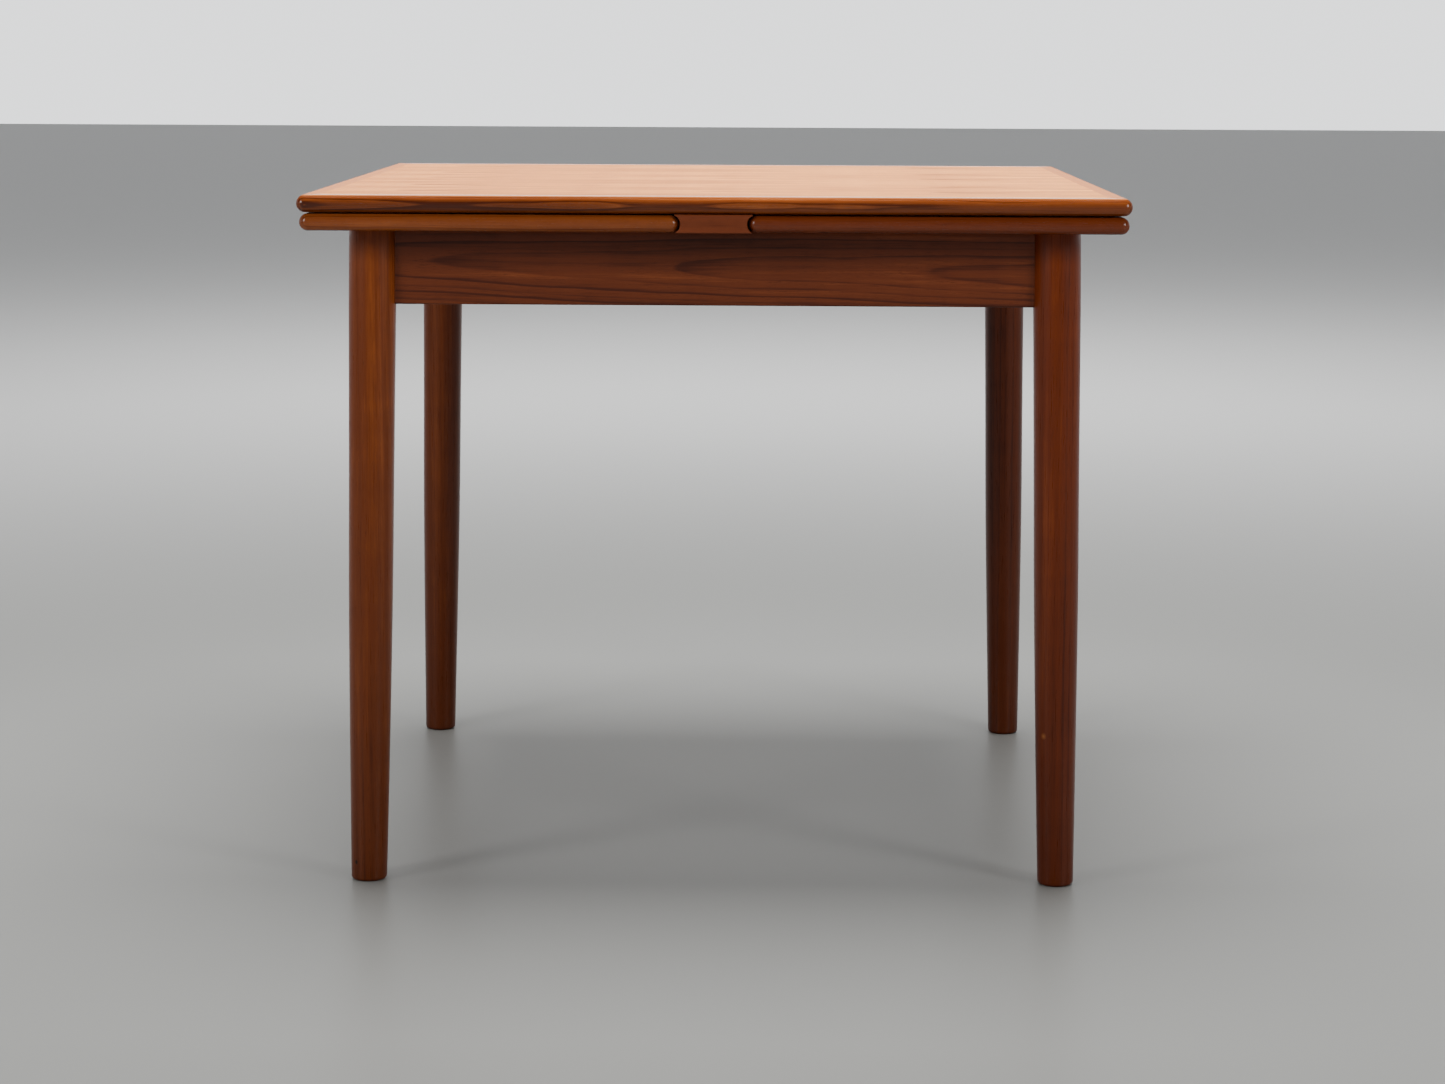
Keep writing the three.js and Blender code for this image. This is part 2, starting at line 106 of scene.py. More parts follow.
def mesh_from(name, vertices, faces):
    mesh = bpy.data.meshes.new(name)
    mesh.from_pydata(vertices, [], faces)
    mesh.validate()
    work = bmesh.new()
    work.from_mesh(mesh)
    bmesh.ops.recalc_face_normals(work, faces=work.faces)
    work.to_mesh(mesh)
    work.free()
    return mesh


def lofted(name, rings):
    """A closed mesh through rings of equally many points, with a flat cap at each end."""
    count = len(rings[0])
    vertices = [point for ring in rings for point in ring]
    faces = [tuple(reversed(range(count)))]
    for i in range(len(rings) - 1):
        for j in range(count):
            k = (j + 1) % count
            faces.append((i * count + j, i * count + k, (i + 1) * count + k, (i + 1) * count + j))
    last = (len(rings) - 1) * count
    faces.append(tuple(range(last, last + count)))
    return mesh_from(name, vertices, faces)


def turned(name, outline, segments, place):
    """A mesh turned about an axis from (radius, distance) points that start and end on it."""
    vertices = []
    rings = []
    for radius, height in outline:
        if radius == 0:
            rings.append([len(vertices)])
            vertices.append(place(0, 0, height))
            continue
        rings.append(list(range(len(vertices), len(vertices) + segments)))
        for j in range(segments):
            turn = 2 * math.pi * j / segments
            vertices.append(place(radius * math.cos(turn), radius * math.sin(turn), height))
    faces = []
    for low, high in zip(rings, rings[1:]):
        for j in range(segments):
            k = (j + 1) % segments
            if len(low) == 1:
                faces.append((low[0], high[j], high[k]))
            elif len(high) == 1:
                faces.append((low[j], low[k], high[0]))
            else:
                faces.append((low[j], low[k], high[k], high[j]))
    return mesh_from(name, vertices, faces)


def arc(centre, radius, start, end, steps):
    """Points on an arc, angles in degrees."""
    points = []
    for i in range(steps + 1):
        angle = math.radians(start + (end - start) * i / steps)
        points.append((centre[0] + radius * math.cos(angle), centre[1] + radius * math.sin(angle)))
    return points


def cut(piece, cutter):
    """Cuts one mesh object out of another and removes the cutter."""
    boolean = piece.modifiers.new("cut", "BOOLEAN")
    boolean.operation = "DIFFERENCE"
    boolean.solver = "EXACT"
    boolean.object = cutter
    bpy.context.view_layer.update()
    evaluated = piece.evaluated_get(bpy.context.evaluated_depsgraph_get())
    mesh = bpy.data.meshes.new_from_object(evaluated)
    piece.modifiers.remove(boolean)
    piece.data = mesh
    bpy.data.objects.remove(cutter)


def box_mesh(name, low, high):
    outline = ((low[0], low[1]), (high[0], low[1]), (high[0], high[1]), (low[0], high[1]))
    return lofted(name, [[(x, y, z) for x, y in outline] for z in (low[2], high[2])])


# ---------------------------------------------------------------- shader helpers


class Shader:
    """A small layer over a material's node tree."""

    def __init__(self, name):
        self.material = bpy.data.materials.new(name)
        self.material.use_nodes = True
        self.tree = self.material.node_tree
        self.tree.nodes.clear()
        self.surface = self.tree.nodes.new("ShaderNodeBsdfPrincipled")
        output = self.tree.nodes.new("ShaderNodeOutputMaterial")
        self.join(self.surface.outputs["BSDF"], output.inputs["Surface"])

    def join(self, source, target):
        if isinstance(source, (int, float, tuple)):
            target.default_value = source
        else:
            self.tree.links.new(source, target)

    def coordinates(self):
        return self.tree.nodes.new("ShaderNodeTexCoord").outputs["Object"]

    def normal(self):
        return self.tree.nodes.new("ShaderNodeNewGeometry").outputs["Normal"]

    def mapped(self, vector, location=(0, 0, 0), rotation=(0, 0, 0), scale=(1, 1, 1)):
        node = self.tree.nodes.new("ShaderNodeMapping")
        self.join(vector, node.inputs["Vector"])
        node.inputs["Location"].default_value = location
        node.inputs["Rotation"].default_value = [math.radians(angle) for angle in rotation]
        node.inputs["Scale"].default_value = scale
        return node.outputs["Vector"]

    def noise(self, vector, scale=1.0, detail=2.0, roughness=0.5, color=False):
        node = self.tree.nodes.new("ShaderNodeTexNoise")
        self.join(vector, node.inputs["Vector"])
        node.inputs["Scale"].default_value = scale
        node.inputs["Detail"].default_value = detail
        node.inputs["Roughness"].default_value = roughness
        return node.outputs["Color" if color else "Fac"]

    def math(self, operation, first, second=0.0, third=0.0, clamp=False):
        node = self.tree.nodes.new("ShaderNodeMath")
        node.operation = operation
        node.use_clamp = clamp
        for value, socket in zip((first, second, third), node.inputs):
            self.join(value, socket)
        return node.outputs["Value"]

    def vector_math(self, operation, first, second):
        node = self.tree.nodes.new("ShaderNodeVectorMath")
        node.operation = operation
        self.join(first, node.inputs[0])
        self.join(second, node.inputs[1])
        return node.outputs["Vector"]

    def split(self, vector):
        node = self.tree.nodes.new("ShaderNodeSeparateXYZ")
        self.join(vector, node.inputs[0])
        return node.outputs

    def combine(self, x, y, z):
        node = self.tree.nodes.new("ShaderNodeCombineXYZ")
        for value, socket in zip((x, y, z), node.inputs):
            self.join(value, socket)
        return node.outputs["Vector"]

    def ramp(self, value, stops):
        node = self.tree.nodes.new("ShaderNodeValToRGB")
        node.color_ramp.interpolation = "EASE"
        elements = node.color_ramp.elements
        while len(elements) < len(stops):
            elements.new(1.0)
        for element, (position, color) in zip(elements, stops):
            element.position = position
            element.color = (*color, 1.0)
        self.join(value, node.inputs["Fac"])
        return node.outputs["Color"]

    def mix(self, factor, first, second, blend="MIX"):
        node = self.tree.nodes.new("ShaderNodeMix")
        node.data_type = "RGBA"
        node.blend_type = blend
        self.join(factor, node.inputs["Factor"])
        self.join(first, node.inputs["A"])
        self.join(second, node.inputs["B"])
        return node.outputs["Result"]

    def bump(self, height, strength, distance):
        node = self.tree.nodes.new("ShaderNodeBump")
        node.inputs["Strength"].default_value = strength
        node.inputs["Distance"].default_value = distance
        self.join(height, node.inputs["Height"])
        self.join(node.outputs["Normal"], self.surface.inputs["Normal"])


# ---------------------------------------------------------------- materials

GRAIN_TURN = {"X": (0, 0, 0), "Y": (0, 0, -90), "Z": (0, 90, 0)}
LEAF_SHIFT = 20.5  # in veneer leaves: far enough that no place on the table is folded below zero
SEED_STEP = (1.37, 0.173, 0.091)


def centred(shader, value, weight):
    """A 0 to 1 pattern as a swing about zero."""
    return shader.math("MULTIPLY", shader.math("SUBTRACT", value, 0.5), weight)


def grain_noise(shader, place, along, across, detail=2.0, roughness=0.5):
    """Noise drawn out along the grain. The scales are blots per metre."""
    stretched = shader.mapped(place, scale=(along, across, across))
    return shader.noise(stretched, detail=detail, roughness=roughness)


def along_grain(shader, grain, leaf_width=0.0):
    """Coordinates with X along the grain. With leaf_width, veneer leaves are matched like an open book."""
    place = shader.mapped(shader.coordinates(), rotation=GRAIN_TURN[grain])
    if leaf_width:
        x, y, z = shader.split(place)
        folded = shader.math("PINGPONG", shader.math("ADD", y, LEAF_SHIFT * leaf_width), leaf_width)
        place = shader.combine(x, folded, z)
    return place


def wandering(shader, place, seed, long, across, reach):
    """Noise that bends the grain sideways, but not along itself."""
    moved = shader.mapped(place, location=(seed, -seed, seed), scale=(long, across, across))
    drift = shader.vector_math("SUBTRACT", shader.noise(moved, color=True), (0.5, 0.5, 0.5))
    return shader.vector_math("MULTIPLY", drift, (0, reach, reach))


def growth_rings(shader, place, seed, pith, lean, spacing):
    """Dark late wood lines round a pith that runs askew through the board, which makes cathedrals.

    Gives how much late wood there is, and how far through its year's growth a point is, both 0 to 1.
    """
    x, y, z = shader.split(place)
    off_y = shader.math("SUBTRACT", shader.math("MULTIPLY_ADD", x, -lean[0], y), pith[0])
    off_z = shader.math("SUBTRACT", shader.math("MULTIPLY_ADD", x, -lean[1], z), pith[1])
    squared = shader.math("MULTIPLY_ADD", off_y, off_y, shader.math("MULTIPLY", off_z, off_z))
    radius = shader.math("SQRT", squared)
    uneven = shader.noise(shader.combine(shader.math("MULTIPLY", radius, 0.4 / spacing), seed, 0.0))
    years = shader.math("ADD", shader.math("MULTIPLY", radius, 1 / spacing), centred(shader, uneven, 2.2))
    season = shader.math("FRACT", years)
    whole = shader.tree.nodes.new("ShaderNodeTexWhiteNoise")
    whole.noise_dimensions = "1D"
    shader.join(shader.math("ADD", shader.math("FLOOR", years), seed), whole.inputs["W"])
    rise = shader.math("MULTIPLY", shader.math("SUBTRACT", season, 0.15), 1.28, clamp=True)
    fall = shader.math("MULTIPLY", shader.math("SUBTRACT", 1.0, season), 12.0, clamp=True)
    late = shader.math("MULTIPLY", shader.math("POWER", rise, 2.4), fall)
    strength = shader.math("MULTIPLY_ADD", whole.outputs["Value"], 0.75, 0.25)
    return shader.math("MULTIPLY", late, strength), season


def teak(name, tones, grain="X", seed=0.0, pith=(0.05, 0.03), lean=(0.02, 0.02), spacing=0.006,
         rings=0.5, bands=0.5, streaks=0.5, patches=0.4, roughness=0.4, gloss=0.3, leaf_width=0.0,
         wander=0.012, painted_low_shade=None, painted_top_light=0.0):
    """Oiled teak: growth rings, long bands, streaks and fibres, open pores and a slow change of tone.

    The pith is where the rings' middle passes the part's origin: for grain along X it is (y, z). Lean is
    how far the pith moves sideways per metre of grain, and spacing is the width of a year's growth.
    Rings, bands, streaks and patches say how much each changes the tone, and wander how far the grain bends.
    Given as (low, high, share), the painted low shade darkens the wood to that share at the low height:
    painted shade for the light that falls off towards the floor. The painted top light is how far the faces
    that look up
    are painted paler: painted light from above, not a change in the wood.
    """
    shader = Shader(name)
    straight = along_grain(shader, grain, leaf_width)
    slow = wandering(shader, straight, seed, 2.6, 9.0, wander)
    quick = wandering(shader, straight, seed + 5.5, 11.0, 42.0, wander * 0.16)
    warped = shader.vector_math("ADD", shader.vector_math("ADD", straight, slow), quick)
    late, season = growth_rings(shader, warped, seed, pith, lean, spacing)

    place = shader.mapped(warped, location=[seed * step for step in SEED_STEP])
    band = grain_noise(shader, place, 1.3, 52, detail=3.0, roughness=0.6)
    streak = grain_noise(shader, place, 3.5, 190, detail=4.0, roughness=0.65)
    fibre = grain_noise(shader, place, 22, 1100)
    patch = grain_noise(shader, place, 2.4, 14)
    pore_field = grain_noise(shader, place, 110, 2300, detail=1.0)
    early = shader.math("SUBTRACT", 1.0, shader.math("MULTIPLY", season, 1.6, clamp=True))
    pore = shader.math("MULTIPLY", shader.math("SUBTRACT", pore_field, 0.58), 7.0, clamp=True)
    pore = shader.math("MULTIPLY", pore, shader.math("MULTIPLY_ADD", early, 0.65, 0.35))
    # Painted sheen: pale and dark bands across the grain, fixed in the colour, stand in for teak's shimmer in
    # the light.
    shimmer = shader.noise(shader.mapped(straight, location=(seed, 0, 0), scale=(36, 5, 5)), detail=1.0)

    tone = shader.math("ADD", 0.53, centred(shader, patch, patches))
    tone = shader.math("SUBTRACT", tone, shader.math("MULTIPLY", late, rings))
    tone = shader.math("ADD", tone, centred(shader, band, bands))
    tone = shader.math("ADD", tone, centred(shader, streak, streaks))
    tone = shader.math("ADD", tone, centred(shader, fibre, 0.3))
    tone = shader.math("ADD", tone, centred(shader, shimmer, 0.14), clamp=True)
    dark, middle, light = tones
    color = shader.ramp(tone, [(0.15, dark), (0.5, middle), (0.85, light)])
    color = shader.mix(shader.math("MULTIPLY", pore, 0.5), color, (*[0.4 * part for part in dark], 1.0))
    # Painted shade: the wood is darker towards its low end, where less light reaches.
    if painted_low_shade:
        low, high, share = painted_low_shade
        height = shader.split(shader.coordinates())[2]
        risen = shader.math("DIVIDE", shader.math("SUBTRACT", height, low), high - low, clamp=True)
        kept = shader.math("MULTIPLY_ADD", risen, 1 - share, share)
        color = shader.mix(1.0, color, shader.combine(kept, kept, kept), blend="MULTIPLY")
    # Painted light: faces that look up are painted paler, as the light from above makes them look.
    if painted_top_light:
        facing_up = shader.split(shader.normal())[2]
        lit_from_above = shader.math("MULTIPLY", shader.math("SUBTRACT", facing_up, 0.86), 8.0, clamp=True)
        color = shader.mix(shader.math("MULTIPLY", lit_from_above, painted_top_light), color, TOP_LIGHT_PAINT)
    shader.join(color, shader.surface.inputs["Base Color"])

    dull = shader.math("ADD", roughness, centred(shader, fibre, 0.16))
    dull = shader.math("ADD", dull, shader.math("MULTIPLY", pore, 0.2), clamp=True)
    shader.join(dull, shader.surface.inputs["Roughness"])
    shader.surface.inputs["IOR"].default_value = 1.48
    shader.surface.inputs["Specular IOR Level"].default_value = gloss
    relief = shader.math("SUBTRACT", shader.math("MULTIPLY", fibre, 0.25), pore)
    shader.bump(relief, 0.2, 0.1 * MM)
    return shader


def add_mark(shader, centre, radius, color, soft=0.5):
    """A small round mark at a place on the part: a ding or a knot."""
    away = shader.vector_math("SUBTRACT", shader.coordinates(), centre)
    squashed = shader.vector_math("DIVIDE", away, radius)
    length = shader.tree.nodes.new("ShaderNodeVectorMath")
    length.operation = "LENGTH"
    shader.join(squashed, length.inputs[0])
    near = shader.math("DIVIDE", shader.math("SUBTRACT", 1.0, length.outputs["Value"]), soft, clamp=True)
    socket = shader.surface.inputs["Base Color"]
    below = socket.links[0].from_socket
    shader.join(shader.mix(near, below, (*color, 1.0)), socket)


def beech(name, seed=0.0, grain="X"):
    """Plain sanded beech, pale, with small darker flecks."""
    shader = Shader(name)
    place = shader.mapped(along_grain(shader, grain), location=[seed * step for step in SEED_STEP])
    streak = grain_noise(shader, place, 4, 160, detail=4.0)
    patch = grain_noise(shader, place, 3, 12)
    fleck_field = grain_noise(shader, place, 260, 1400, detail=0.0)
    fleck = shader.math("MULTIPLY", shader.math("SUBTRACT", fleck_field, 0.64), 7.0, clamp=True)
    tone = shader.math("ADD", 0.5, centred(shader, streak, 0.6))
    tone = shader.math("ADD", tone, centred(shader, patch, 0.6), clamp=True)
    dark, middle, light = BEECH_TONES
    color = shader.ramp(tone, [(0.1, dark), (0.5, middle), (0.9, light)])
    color = shader.mix(shader.math("MULTIPLY", fleck, 0.5), color, BEECH_FLECK)
    shader.join(color, shader.surface.inputs["Base Color"])
    shader.join(shader.math("ADD", 0.55, centred(shader, streak, 0.2)), shader.surface.inputs["Roughness"])
    shader.bump(streak, 0.2, 0.15 * MM)
    return shader.material


def dulled_steel(name):
    """Zinc plated steel, dulled in patches."""
    shader = Shader(name)
    cloud = shader.noise(shader.coordinates(), scale=900.0, detail=3.0)
    color = shader.ramp(cloud, [(0.3, (0.30, 0.28, 0.25)), (0.7, (0.50, 0.48, 0.44))])
    shader.join(color, shader.surface.inputs["Base Color"])
    shader.join(shader.math("ADD", 0.3, centred(shader, cloud, 0.3)), shader.surface.inputs["Roughness"])
    shader.surface.inputs["Metallic"].default_value = 1.0
    return shader.material


def tones(middle, spread=2.0):
    """Dark, middle and light of one wood. The dark is redder and the light yellower than the middle."""
    red, green, blue = middle
    dark = (red / spread, green / spread ** 1.2, blue / spread ** 1.2)
    light = (red * spread ** 0.75, green * spread ** 0.95, blue * spread ** 0.95)
    return (dark, middle, light)


TOP_TONES = tones((0.58, 0.21, 0.055), 1.9)
TOP_LIPPING_TONES = tones((0.155, 0.0344, 0.0062), 2.7)
LEFT_LEAF_TONES = tones((0.188, 0.0448, 0.0092), 1.8)
RIGHT_LEAF_TONES = tones((0.1276, 0.0238, 0.0049), 2.1)
CENTRE_TONES = tones((0.147, 0.0311, 0.0080), 1.8)
APRON_TONES = tones((0.120, 0.0252, 0.0065), 2.2)
LEG_TONES = {
    "leg_front_left": tones((0.149, 0.031, 0.0058), 2.2),
    "leg_front_right": tones((0.130, 0.0215, 0.0036), 2.2),
    "leg_back_left": tones((0.124, 0.0245, 0.0043), 2.1),
    "leg_back_right": tones((0.103, 0.0185, 0.0031), 2.1),
}
# The paler colour painted on faces that look up: painted light from above.
TOP_LIGHT_PAINT = (0.50, 0.165, 0.042, 1.0)
BEECH_TONES = ((0.33, 0.17, 0.075), (0.46, 0.265, 0.13), (0.56, 0.35, 0.18))
BEECH_FLECK = (0.20, 0.09, 0.035, 1.0)

# ---------------------------------------------------------------- edged boards

EDGES = {"right": (1, 0), "left": (-1, 0), "back": (0, 1), "front": (0, -1)}
ARC_STEPS = 20
CORNER_STEPS = 12
VENEER_LEAVES = 5


def lipping_path(inward, half_along, rounding):
    """Where a line this far in from the nose runs: (along, further in) from the middle to the mitre."""
    start = half_along - LIPPING_WIDTH - 2 * MM
    if inward >= rounding:
        end = half_along - inward
        return [(start + (end - start) * i / CORNER_STEPS, 0.0) for i in range(CORNER_STEPS + 1)]
    straight = half_along - rounding - start
    curve = (rounding - inward) * math.pi / 4
    points = []
    for i in range(CORNER_STEPS + 1):
        gone = (straight + curve) * i / CORNER_STEPS
        turn = max(0.0, gone - straight) / (rounding - inward)
        along = start + min(gone, straight) + (rounding - inward) * math.sin(turn)
        points.append((along, (rounding - inward) * (1 - math.cos(turn))))
    return points


def lipping_mesh(name, edge, half, centre, bottom, thickness):
    """One mitred lipping with a half-round nose. Its corners are rounded in plan as well."""
    outward = EDGES[edge]
    across = 0 if outward[0] else 1
    half_out = half[across]
    half_along = half[1 - across]
    radius = thickness / 2
    back = LIPPING_WIDTH + GLUE_GAP - TIGHT_JOINT
    flat = radius + 0.5 * MM
    outline = [(back, 0.0), (flat, 0.0)]
    outline += [(radius - x, radius + y) for x, y in arc((0, 0), radius, -90, 90, ARC_STEPS)]
    outline += [(flat, thickness), (back, thickness)]
    sideways = (-outward[1], outward[0])
    columns = []
    for inward, height in outline:
        path = lipping_path(inward, half_along - TIGHT_JOINT, radius)
        both = [(-along, more) for along, more in reversed(path)] + path
        column = []
        for along, more in both:
            out = half_out - inward - more
            column.append((
                centre[0] + outward[0] * out + sideways[0] * along,
                centre[1] + outward[1] * out + sideways[1] * along,
                bottom + height,
            ))
        columns.append(column)
    rings = [list(ring) for ring in zip(*columns)]
    return lofted(name, rings)


def edged_board(prefix, low, high, body, panel_look, lipping_looks):
    """The lippings of one board, and the look of its CAD panel."""
    centre = ((low.x + high.x) / 2, (low.y + high.y) / 2)
    grow = LIPPING_WIDTH + GLUE_GAP
    half = ((high.x - low.x) / 2 + grow, (high.y - low.y) / 2 + grow)
    for edge, look in lipping_looks.items():
        node = f"{prefix}_lipping_{edge}"
        mesh = lipping_mesh(f"{node}_wood", edge, half, centre, low.z, high.z - low.z)
        finish_piece(new_object(f"{node}_wood", mesh), node, body, look)
    dress(f"{prefix}_panel", panel_look)


def dress(node, material, bevel=0.0):
    """A CAD node that is shown as it is, with a better material and, if asked, eased edges."""
    piece = frame["nodes"][node]
    piece.data.materials.clear()
    piece.data.materials.append(material)
    if bevel:
        ease = piece.modifiers.new("eased_edges", "BEVEL")
        ease.width = bevel
        ease.segments = 2
        ease.limit_method = "ANGLE"
        ease.angle_limit = math.radians(40)
        ease.harden_normals = False


def build_boards():
    """The main top and the two leaves."""
    leaf_width = (TOP_HIGH.y - TOP_LOW.y) / VENEER_LEAVES
    veneer = dict(pith=(leaf_width * 0.55, TOP_HIGH.z - 0.10), lean=(0.0, 0.05), spacing=0.009,
                  bands=0.6, streaks=0.9, patches=0.5, roughness=0.46, gloss=0.13,
                  leaf_width=leaf_width, wander=0.02)
    top_look = teak("top_veneer_teak", TOP_TONES, seed=1.0, **veneer)
    middle_z = (TOP_LOW.z + TOP_HIGH.z) / 2
    # The top's lippings are painted paler on the faces that look up: painted light.
    edge = dict(spacing=0.0026, wander=0.010, patches=0.7, bands=0.35, streaks=0.35, painted_top_light=0.8)
    polished = dict(roughness=0.17, gloss=0.4)
    satin = dict(roughness=0.4, gloss=0.15)
    sides = {
        "front": dict(seed=2.0, pith=(-0.31, middle_z + 0.004), rings=0.75, lean=(-0.004, 0.001), **polished),
        "back": dict(seed=3.3, pith=(0.29, middle_z - 0.004), rings=0.6, lean=(0.004, 0.002), **polished),
        "left": dict(seed=4.1, pith=(0.29, middle_z), grain="Y", lean=(0.003, 0.002), **satin),
        "right": dict(seed=5.7, pith=(-0.29, middle_z), grain="Y", lean=(0.003, 0.002), **satin),
    }
    lippings = {}
    for side, own in sides.items():
        lippings[side] = teak(f"top_lipping_{side}_teak", TOP_LIPPING_TONES, **edge, **own).material
    edged_board("top", TOP_LOW, TOP_HIGH, "main_top", top_look.material, lippings)
    leaf_tones = {"left": LEFT_LEAF_TONES, "right": RIGHT_LEAF_TONES}
    for leaf, lipping_tones in leaf_tones.items():
        low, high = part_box(f"{leaf}_leaf_panel")
        seed = 11.0 + 7.3 * SIDES[leaf]
        panel = teak(f"{leaf}_leaf_veneer_teak", TOP_TONES, seed=seed, **veneer)
        looks = {}
        for index, side in enumerate(EDGES):
            grain = "Y" if EDGES[side][0] else "X"
            pith = (-0.3, (low.z + high.z) / 2 - 0.01)
            look = teak(f"{leaf}_leaf_lipping_{side}_teak", lipping_tones, grain=grain,
                        seed=seed + 1.9 * index + 1, pith=pith, lean=(0.003, 0.003), spacing=0.004,
                        rings=0.35, bands=0.35, streaks=0.4, patches=0.35,
                        **(satin if grain == "Y" else polished))
            looks[side] = look.material
        edged_board(f"{leaf}_leaf", low, high, f"{leaf}_leaf", panel.material, looks)


# ---------------------------------------------------------------- centre board


def build_centre_board():
    """The fixed board between the leaves. Its sides are coved to follow the leaves' noses."""
    leaf_half = (LEAF_HIGH.z - LEAF_LOW.z) / 2
    nose = LEAF_LOW.x - LIPPING_WIDTH - GLUE_GAP + leaf_half
    middle_z = (LEAF_HIGH.z + LEAF_LOW.z) / 2
    cove = leaf_half + COVE_CLEARANCE
    ease = 0.4 * MM
    top_angle = math.degrees(math.asin(min(1.0, (BOARD_HIGH.z - ease - middle_z) / cove)))
    low_angle = math.degrees(math.asin(min(1.0, (middle_z - BOARD_LOW.z - ease) / cove)))
    side = arc((nose, middle_z), cove, 180 + low_angle, 180 - top_angle, 16)
    top_x = side[-1][0] - ease
    low_x = side[0][0] - ease
    right = [(low_x, BOARD_LOW.z)] + side + [(top_x, BOARD_HIGH.z)]
    outline = right + [(-x, z) for x, z in reversed(right)]
    softened = 0.8 * MM
    middle = (BOARD_LOW.z + BOARD_HIGH.z) / 2
    half_height = (BOARD_HIGH.z - BOARD_LOW.z) / 2
    rings = []
    for y, shrink in ((BOARD_LOW.y, softened), (BOARD_LOW.y + softened, 0), (BOARD_HIGH.y - softened, 0),
                      (BOARD_HIGH.y, softened)):
        narrower = 1 - shrink / cove / 4
        flatter = 1 - shrink / half_height
        rings.append([(x * narrower, y, middle + (z - middle) * flatter) for x, z in outline])
    piece = new_object("centre_board_wood", lofted("centre_board_wood", rings))
    below = BOARD_LOW.z - CUTTER_REACH
    above = BOARD_HIGH.z + CUTTER_REACH
    bore = [(0, below), (PEG_HOLE_RADIUS, below), (PEG_HOLE_RADIUS, above), (0, above)]
    for end in ENDS:
        low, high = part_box(f"guide_peg_{end}")
        peg_y = (low.y + high.y) / 2
        hole = turned("hole", bore, PEG_SEGMENTS, lambda x, y, z, at=peg_y: (x, y + at, z))
        cut(piece, new_object("hole", hole))
    look = teak("centre_board_teak", CENTRE_TONES, seed=8.2, pith=(-0.3, BOARD_LOW.z - 0.03), rings=0.35,
                streaks=0.4)
    finish_piece(piece, "centre_board", "frame", look.material)


# ---------------------------------------------------------------- legs and aprons


def spline(points, share):
    """A Catmull-Rom curve through the points, as a share of the way through them."""
    place = share * (len(points) - 1)
    index = min(int(place), len(points) - 2)
    t = place - index
    first = points[max(index - 1, 0)]
    last = points[min(index + 2, len(points) - 1)]
    result = []
    for before, start, end, after in zip(first, points[index], points[index + 1], last):
        pull_in = (end - before) / 2
        pull_out = (after - start) / 2
        cubic = (2 * start - 2 * end + pull_in + pull_out) * t ** 3
        square = (3 * end - 3 * start - 2 * pull_in - pull_out) * t ** 2
        result.append(cubic + square + pull_in * t + start)
    return result


TAPER_STEPS = 60
TAPER = [[value * MM for value in spline(LEG_PROFILE, i / TAPER_STEPS)] for i in range(TAPER_STEPS + 1)]


def leg_radius(z):
    for (low_radius, low_z), (high_radius, high_z) in zip(TAPER, TAPER[1:]):
        if z <= high_z:
            return low_radius + (high_radius - low_radius) * (z - low_z) / (high_z - low_z)
    return LEG_TOP_RADIUS


def leg_axis(z):
    """How far from the table's middle, along X and along Y, a leg's axis is at this height."""
    return LEG_CENTRE + (APRON_MIDDLE_Z - z) * LEG_SPLAY


# Small marks on the front legs: a dark ding by the left foot, a pale knot low on the right leg.
LEG_MARKS = {
    "leg_front_left": dict(centre=(-0.3805, -0.3834, 0.021), radius=(0.0021, 0.0025, 0.0030),
                           color=(0.010, 0.004, 0.002)),
    "leg_front_right": dict(centre=(0.3521, -0.3827, 0.164), radius=(0.003, 0.006, 0.004),
                            color=(0.23, 0.075, 0.02), soft=0.9),
}


def build_legs():
    """Four round legs, tapered along a curve, that lean out by the splay."""
    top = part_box("leg_front_left")[1].z
    outline = [(0, 0)]
    outline += arc((TAPER[0][0] - FOOT_ROUNDING, FOOT_ROUNDING), FOOT_ROUNDING, -90, 0, 10)
    outline += [(radius, z) for radius, z in TAPER if z > FOOT_ROUNDING * 1.2]
    ease = 1.5 * MM
    outline += [(LEG_TOP_RADIUS, TAPER[-1][1] + (top - ease - TAPER[-1][1]) * i / 8) for i in range(1, 9)]
    outline += arc((LEG_TOP_RADIUS - ease, top - ease), ease, 0, 90, 5)[1:]
    outline += [(0, top)]
    seed = 20.0
    for end, end_y in ENDS.items():
        for side, side_x in SIDES.items():
            seed += 3.1
            node = f"leg_{end}_{side}"

            def place(x, y, z, side_x=side_x, end_y=end_y):
                return (x + side_x * leg_axis(z), y + end_y * leg_axis(z), z)

            pith = (end_y * (LEG_CENTRE + 0.05), side_x * LEG_CENTRE + 0.02)
            # The legs get painted shade, darker towards the foot, where less light reaches.
            look = teak(f"{node}_teak", LEG_TONES[node], grain="Z", seed=seed, pith=pith, lean=(0.006, 0.004),
                        spacing=0.008, rings=0.22, patches=0.5, roughness=0.3, gloss=0.24, wander=0.006,
                        painted_low_shade=(0.0, 0.62, 0.62))
            if node in LEG_MARKS:
                add_mark(look, **LEG_MARKS[node])
            mesh = turned(f"{node}_wood", outline, LEG_SEGMENTS, place)
            finish_piece(new_object(f"{node}_wood", mesh), node, "frame", look.material)


APRON_STEPS = 24


def apron_outline(inner, outer, low_z, high_z):
    """An apron's section, (across, height), with eased edges: softer at the bottom than at the top."""
    soft = 1.6 * MM
    crisp = 0.5 * MM
    points = []
    points += arc((outer - soft, low_z + soft), soft, -90, 0, 4)
    points += [(outer, low_z + (high_z - low_z) * i / 12) for i in range(1, 12)]
    points += arc((outer - crisp, high_z - crisp), crisp, 0, 90, 2)
    points += arc((inner + crisp, high_z - crisp), crisp, 90, 180, 2)
    points += [(inner, high_z - (high_z - low_z) * i / 12) for i in range(1, 12)]
    points += arc((inner + soft, low_z + soft), soft, 180, 270, 4)
    return points


